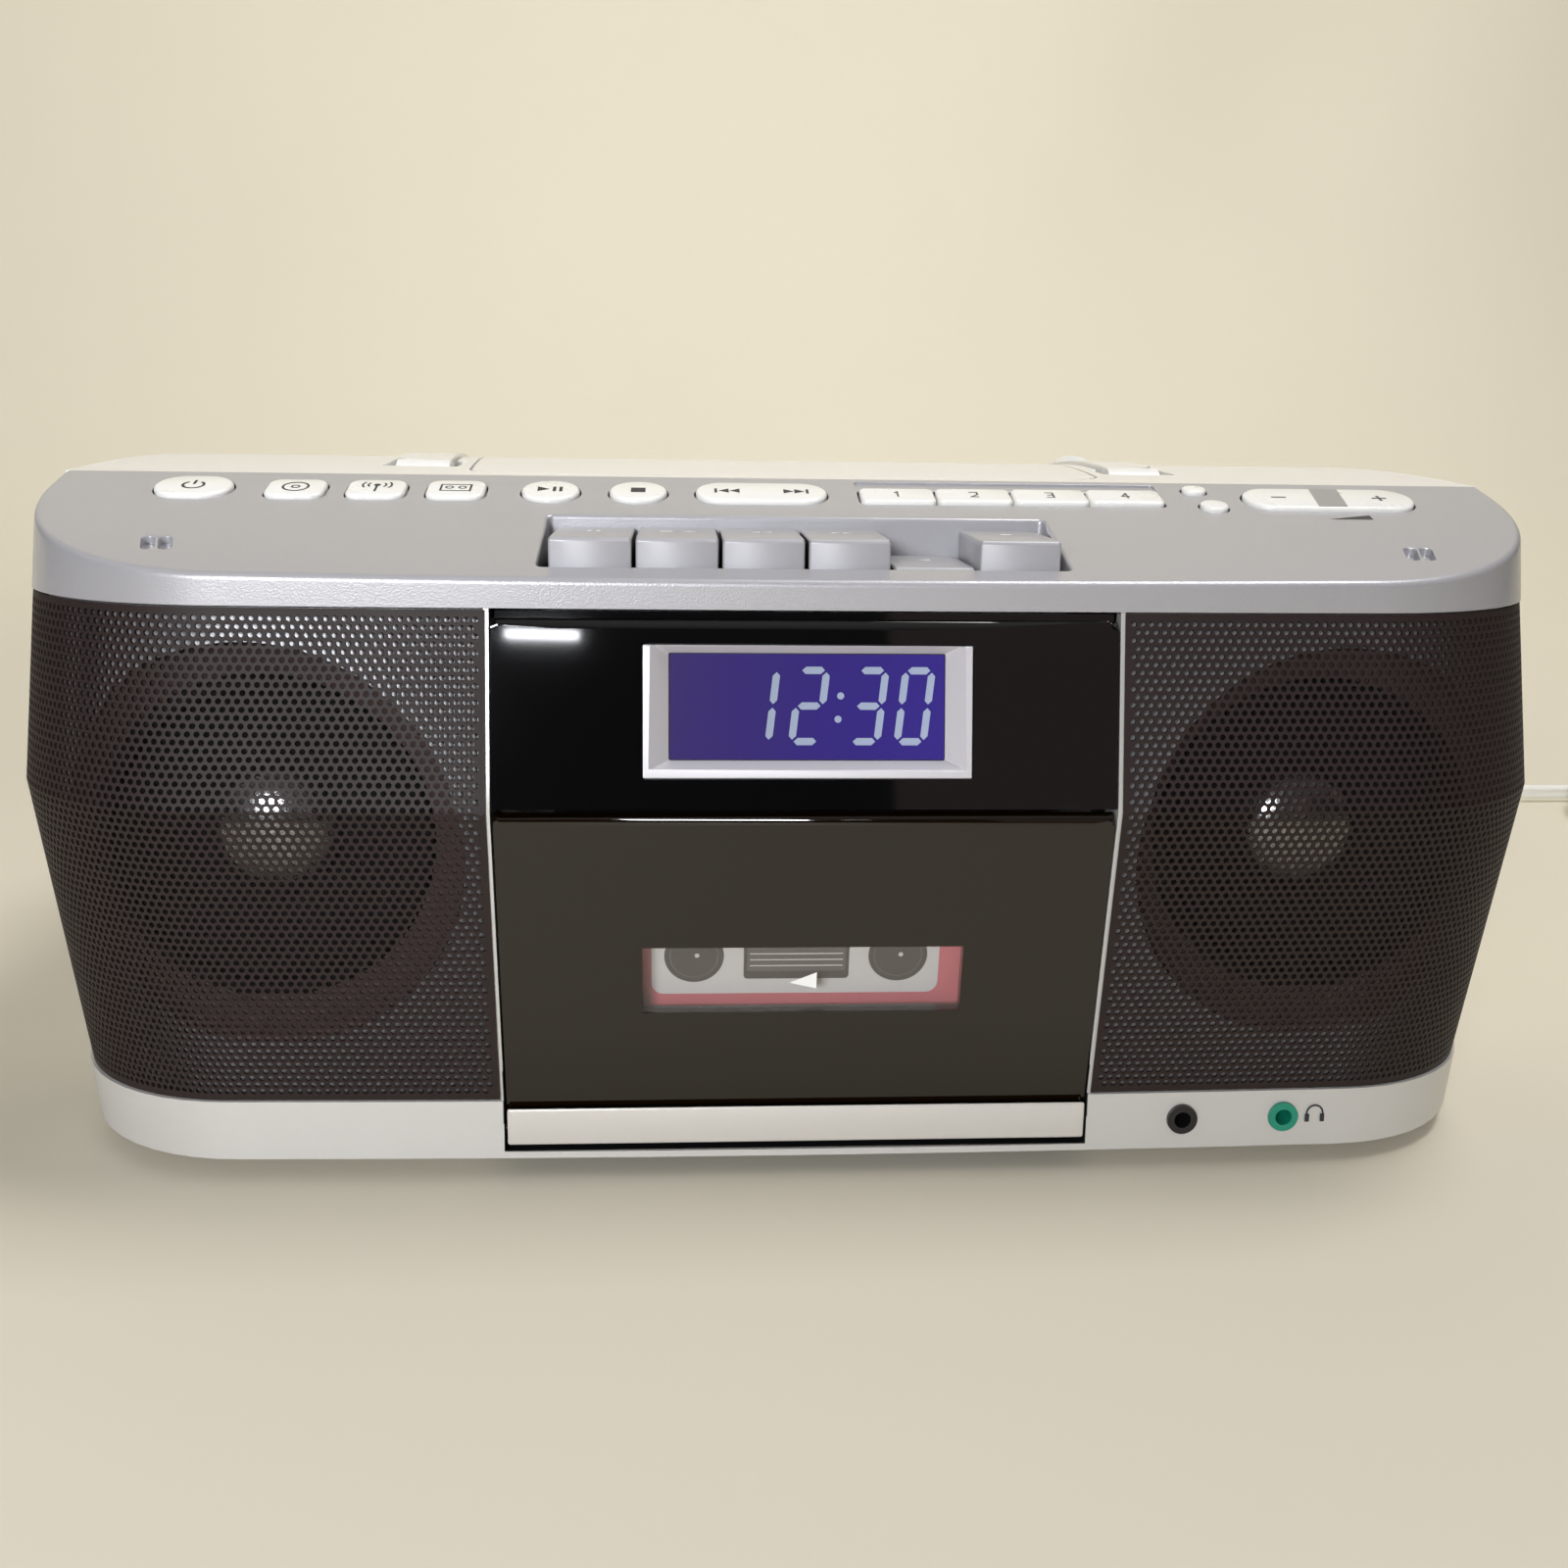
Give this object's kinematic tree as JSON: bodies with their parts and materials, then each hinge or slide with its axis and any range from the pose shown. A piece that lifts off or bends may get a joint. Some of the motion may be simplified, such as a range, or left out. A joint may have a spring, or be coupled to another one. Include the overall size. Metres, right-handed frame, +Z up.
{
  "type": "cd radio cassette player",
  "caption": "Portable CD, radio and cassette player with wrap-round speaker grilles, sloping key panel, tape door, disc lid, folding handle, rod aerial and mains cord.",
  "frame": {"origin": "on the floor under the middle of the cabinet, halfway between the front of the waist and the back wall", "axes": "+X to the right as seen from the front, +Y from front to back, +Z up"},
  "size_m": [0.6142, 0.3501, 0.146],
  "materials": {
    "silver": "satin silver paint on moulded plastic",
    "white": "glossy white",
    "button_white": "glossy white",
    "grille_metal": "matt dark grey",
    "gloss_black": "high gloss",
    "window_glass": "clear",
    "cassette_shell": "satin",
    "display_glass": "backlit",
    "speaker_steel": "bare",
    "cone_paper": "matt",
    "steel": "satin",
    "chrome": "polished",
    "brass": "machined",
    "board": "lacquered",
    "black_plastic": "satin",
    "teal_plastic": "satin",
    "spindle_white": "satin",
    "rubber": "matt",
    "cord_white": "satin"
  },
  "bodies": {
    "cabinet": {"front_cabinet": "silver", "rear_cabinet": "white", "control_panel": "silver", "cd_deck": "white", "left_grille": "grille_metal", "right_grille": "grille_metal", "speaker_drivers": "speaker_steel", "speaker_cones": "cone_paper", "display_panel": "gloss_black", "display_bezel": "silver", "lcd_module": "display_glass", "circuit_boards": "board", "transformer": "speaker_steel", "ac_inlet": "black_plastic", "aux_jack": "black_plastic", "phones_jack": "teal_plastic", "feet": "rubber", "cabinet_screws": "steel", "cd_chassis": "steel", "tape_chassis": "steel", "tape_motor": "steel", "drive_belt": "rubber", "inlet_plug": "cord_white", "cord_run": "cord_white", "cord_coil": "cord_white", "mains_plug": "cord_white"},
    "door": {"cassette_door": "gloss_black", "door_window": "window_glass", "cassette": "cassette_shell"},
    "lid": {"cd_lid": "white"},
    "handle": {"carry_handle": "white"},
    "aerial": {"aerial_mast": "chrome"},
    "aerial_tip": {"aerial_rod": "chrome"},
    "battery_lid": {"battery_cover": "white"},
    "laser": {"cd_pickup": "black_plastic"},
    "turntable": {"cd_turntable": "black_plastic"},
    "take_up": {"take_up_spindle": "spindle_white"},
    "supply": {"supply_spindle": "spindle_white"},
    "capstan": {"flywheel": "steel"},
    "pulley": {"motor_pulley": "brass"},
    "pause_key": {"pause_key": "silver"},
    "eject_key": {"eject_key": "silver"},
    "forward_key": {"forward_key": "silver"},
    "rewind_key": {"rewind_key": "silver"},
    "play_key": {"play_key": "silver"},
    "record_key": {"record_key": "silver"},
    "skip_rocker": {"skip_rocker": "button_white"},
    "volume_rocker": {"volume_rocker": "button_white"},
    "power_button": {"power_button": "button_white"},
    "cd_button": {"cd_button": "button_white"},
    "radio_button": {"radio_button": "button_white"},
    "tape_button": {"tape_button": "button_white"},
    "play_button": {"play_button": "button_white"},
    "stop_button": {"stop_button": "button_white"},
    "preset_1": {"preset_1": "button_white"},
    "preset_2": {"preset_2": "button_white"},
    "preset_3": {"preset_3": "button_white"},
    "preset_4": {"preset_4": "button_white"},
    "sound_button": {"sound_button": "button_white"},
    "mode_button": {"mode_button": "button_white"}
  },
  "joints": [
    {"name": "door_pivot", "type": "hinge", "parent": "cabinet", "child": "door", "pos_m": [0, -0.1048, 0.01], "axis": [1, 0, 0], "range_deg": [0, 28]},
    {"name": "lid_hinge", "type": "hinge", "parent": "cabinet", "child": "lid", "pos_m": [0, 0.0815, 0.1404], "axis": [-1, 0, 0], "range_deg": [0, 62]},
    {"name": "handle_pivot", "type": "hinge", "parent": "cabinet", "child": "handle", "pos_m": [0, -0.02, 0.139], "axis": [1, 0, 0], "range_deg": [0, 90]},
    {"name": "aerial_tilt", "type": "hinge", "parent": "cabinet", "child": "aerial", "pos_m": [0.104, 0.1135, 0.1365], "axis": [0, 1, 0], "range_deg": [0, 90]},
    {"name": "aerial_slide", "type": "slide", "parent": "aerial", "child": "aerial_tip", "axis": [-1, 0, 0], "range_m": [0, 0.15]},
    {"name": "battery_hinge", "type": "hinge", "parent": "cabinet", "child": "battery_lid", "pos_m": [-0.064, 0.1173, 0.0176], "axis": [-1, 0, 0], "range_deg": [0, 70]},
    {"name": "laser_slide", "type": "slide", "parent": "cabinet", "child": "laser", "axis": [0, -1, 0], "range_m": [0, 0.032]},
    {"name": "turntable_spin", "type": "hinge", "parent": "cabinet", "child": "turntable", "pos_m": [0, 0.02, 0.133], "axis": [0, 0, 1], "continuous": true},
    {"name": "take_up_spin", "type": "hinge", "parent": "cabinet", "child": "take_up", "pos_m": [0.02125, -0.10026, 0.04694], "axis": [0, 0.9849, 0.173], "continuous": true},
    {"name": "supply_spin", "type": "hinge", "parent": "cabinet", "child": "supply", "pos_m": [-0.02125, -0.10026, 0.04694], "axis": [0, 0.9849, 0.173], "continuous": true},
    {"name": "capstan_spin", "type": "hinge", "parent": "cabinet", "child": "capstan", "pos_m": [0.03, -0.09199, 0.075], "axis": [0, 0.9849, 0.173], "continuous": true},
    {"name": "pulley_spin", "type": "hinge", "parent": "cabinet", "child": "pulley", "pos_m": [-0.034, -0.09216, 0.07598], "axis": [0, 0.9849, 0.173], "continuous": true},
    {"name": "pause_key_slide", "type": "slide", "parent": "cabinet", "child": "pause_key", "axis": [0, 0, -1], "range_m": [0, 0.0054], "stiffness_N_per_m": 120},
    {"name": "eject_key_slide", "type": "slide", "parent": "cabinet", "child": "eject_key", "axis": [0, 0, -1], "range_m": [0, 0.0054], "stiffness_N_per_m": 120},
    {"name": "forward_key_slide", "type": "slide", "parent": "cabinet", "child": "forward_key", "axis": [0, 0, -1], "range_m": [0, 0.0054], "stiffness_N_per_m": 120},
    {"name": "rewind_key_slide", "type": "slide", "parent": "cabinet", "child": "rewind_key", "axis": [0, 0, -1], "range_m": [0, 0.0054], "stiffness_N_per_m": 120},
    {"name": "play_key_slide", "type": "slide", "parent": "cabinet", "child": "play_key", "axis": [0, 0, 1], "range_m": [0, 0.0054], "stiffness_N_per_m": 40},
    {"name": "record_key_slide", "type": "slide", "parent": "cabinet", "child": "record_key", "axis": [0, 0, -1], "range_m": [0, 0.0054], "stiffness_N_per_m": 120},
    {"name": "skip_rocker_tilt", "type": "hinge", "parent": "cabinet", "child": "skip_rocker", "pos_m": [-0.0072, -0.06197, 0.13669], "axis": [0, 0.9613, 0.2756], "range_deg": [-2.5, 2.5], "stiffness_Nm_per_rad": 0.5},
    {"name": "volume_rocker_tilt", "type": "hinge", "parent": "cabinet", "child": "volume_rocker", "pos_m": [0.1208, -0.06216, 0.13663], "axis": [0, 0.9613, 0.2756], "range_deg": [-2.5, 2.5], "stiffness_Nm_per_rad": 0.5},
    {"name": "power_button_press", "type": "slide", "parent": "cabinet", "child": "power_button", "axis": [0, 0.2756, -0.9613], "range_m": [0, 0.0009], "stiffness_N_per_m": 900},
    {"name": "cd_button_press", "type": "slide", "parent": "cabinet", "child": "cd_button", "axis": [0, 0.2756, -0.9613], "range_m": [0, 0.0009], "stiffness_N_per_m": 900},
    {"name": "radio_button_press", "type": "slide", "parent": "cabinet", "child": "radio_button", "axis": [0, 0.2756, -0.9613], "range_m": [0, 0.0009], "stiffness_N_per_m": 900},
    {"name": "tape_button_press", "type": "slide", "parent": "cabinet", "child": "tape_button", "axis": [0, 0.2756, -0.9613], "range_m": [0, 0.0009], "stiffness_N_per_m": 900},
    {"name": "play_button_press", "type": "slide", "parent": "cabinet", "child": "play_button", "axis": [0, 0.2756, -0.9613], "range_m": [0, 0.0009], "stiffness_N_per_m": 900},
    {"name": "stop_button_press", "type": "slide", "parent": "cabinet", "child": "stop_button", "axis": [0, 0.2756, -0.9613], "range_m": [0, 0.0009], "stiffness_N_per_m": 900},
    {"name": "preset_1_press", "type": "slide", "parent": "cabinet", "child": "preset_1", "axis": [0, 0.2756, -0.9613], "range_m": [0, 0.0009], "stiffness_N_per_m": 900},
    {"name": "preset_2_press", "type": "slide", "parent": "cabinet", "child": "preset_2", "axis": [0, 0.2756, -0.9613], "range_m": [0, 0.0009], "stiffness_N_per_m": 900},
    {"name": "preset_3_press", "type": "slide", "parent": "cabinet", "child": "preset_3", "axis": [0, 0.2756, -0.9613], "range_m": [0, 0.0009], "stiffness_N_per_m": 900},
    {"name": "preset_4_press", "type": "slide", "parent": "cabinet", "child": "preset_4", "axis": [0, 0.2756, -0.9613], "range_m": [0, 0.0009], "stiffness_N_per_m": 900},
    {"name": "sound_button_press", "type": "slide", "parent": "cabinet", "child": "sound_button", "axis": [0, 0.2756, -0.9613], "range_m": [0, 0.0009], "stiffness_N_per_m": 900},
    {"name": "mode_button_press", "type": "slide", "parent": "cabinet", "child": "mode_button", "axis": [0, 0.2756, -0.9613], "range_m": [0, 0.0009], "stiffness_N_per_m": 900}
  ],
  "couplings": [
    {"joint": "pulley_spin", "follows": "capstan_spin", "ratio": 4.25}
  ]
}
